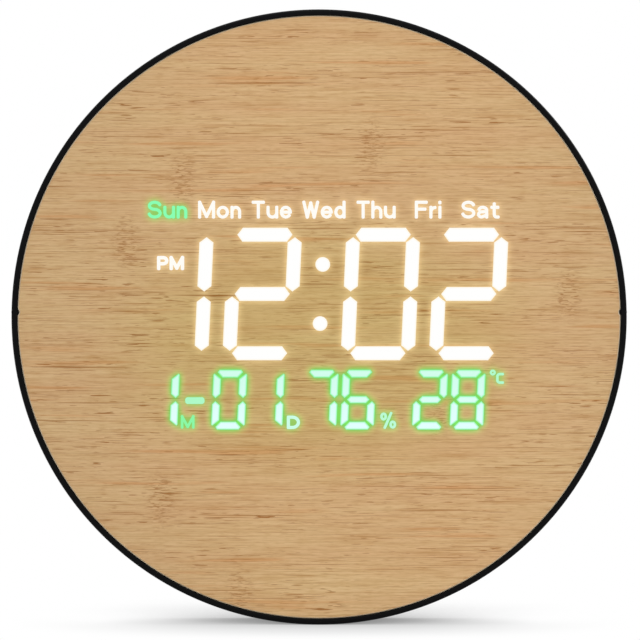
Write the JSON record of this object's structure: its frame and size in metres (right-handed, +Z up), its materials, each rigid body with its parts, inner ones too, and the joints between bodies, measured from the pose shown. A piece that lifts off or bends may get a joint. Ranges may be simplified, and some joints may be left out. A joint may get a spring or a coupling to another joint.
{
  "type": "digital wall clock",
  "caption": "Round wall clock with a bamboo face in a black ring; a lit display shows time, date, humidity and temperature through the veneer, with set keys and power inlet at the back.",
  "frame": {"origin": "centre of the back, on the wall plane", "axes": "+Y out of the back towards the wall, so the face looks along -Y; +Z up; +X to the right seen from the front"},
  "size_m": [0.254, 0.03, 0.254],
  "materials": {
    "case_black": "satin",
    "rear_black": "fine textured",
    "bamboo": "satin lacquer",
    "opal": "matt",
    "tape": "matt",
    "reflector_white": "matt",
    "board_green": "solder mask",
    "chip_black": "matt",
    "bright_metal": "plated",
    "dark_screw": "black oxide",
    "key_grey": "matt",
    "lead_red": "insulation",
    "lead_black": "insulation"
  },
  "bodies": {
    "case": {"case_ring": "case_black", "rear_cover": "rear_black", "case_screw_1": "dark_screw", "case_screw_2": "dark_screw", "case_screw_3": "dark_screw", "case_screw_4": "dark_screw", "case_screw_5": "dark_screw", "case_screw_6": "dark_screw", "board_screw_1": "bright_metal", "board_screw_2": "bright_metal", "board_screw_3": "bright_metal", "board_screw_4": "bright_metal", "bamboo_veneer": "bamboo", "face_panel": "opal", "panel_adhesive": "tape", "diffuser_film": "opal", "reflector_frame": "reflector_white", "display_board": "board_green", "controller_chip": "chip_black", "driver_chip": "chip_black", "climate_sensor": "reflector_white", "clock_crystal": "bright_metal", "buffer_capacitor": "bright_metal", "reflector_screw_1": "bright_metal", "reflector_screw_2": "bright_metal", "reflector_screw_3": "bright_metal", "reflector_screw_4": "bright_metal", "set_switch_body": "chip_black", "up_switch_body": "chip_black", "down_switch_body": "chip_black", "power_socket": "chip_black", "socket_nut": "bright_metal", "power_lead_positive": "lead_red", "power_lead_negative": "lead_black", "coin_cell": "bright_metal", "negative_contact": "bright_metal", "positive_contact": "bright_metal"},
    "set_button": {"set_key": "key_grey", "set_switch_plunger": "key_grey"},
    "up_button": {"up_key": "key_grey", "up_switch_plunger": "key_grey"},
    "down_button": {"down_key": "key_grey", "down_switch_plunger": "key_grey"},
    "door": {"battery_door": "rear_black", "battery_door_screw": "dark_screw"}
  },
  "joints": [
    {"name": "set_press", "type": "slide", "parent": "case", "child": "set_button", "axis": [0, -1, 0], "range_m": [0, 0.0005], "stiffness_N_per_m": 1500, "springref_m": -0.0005},
    {"name": "up_press", "type": "slide", "parent": "case", "child": "up_button", "axis": [0, -1, 0], "range_m": [0, 0.0005], "stiffness_N_per_m": 1500, "springref_m": -0.0005},
    {"name": "down_press", "type": "slide", "parent": "case", "child": "down_button", "axis": [0, -1, 0], "range_m": [0, 0.0005], "stiffness_N_per_m": 1500, "springref_m": -0.0005},
    {"name": "door_hinge", "type": "hinge", "parent": "case", "child": "door", "pos_m": [0.046, -0.0012, -0.016], "axis": [1, 0, 0], "range_deg": [0, 80]}
  ]
}
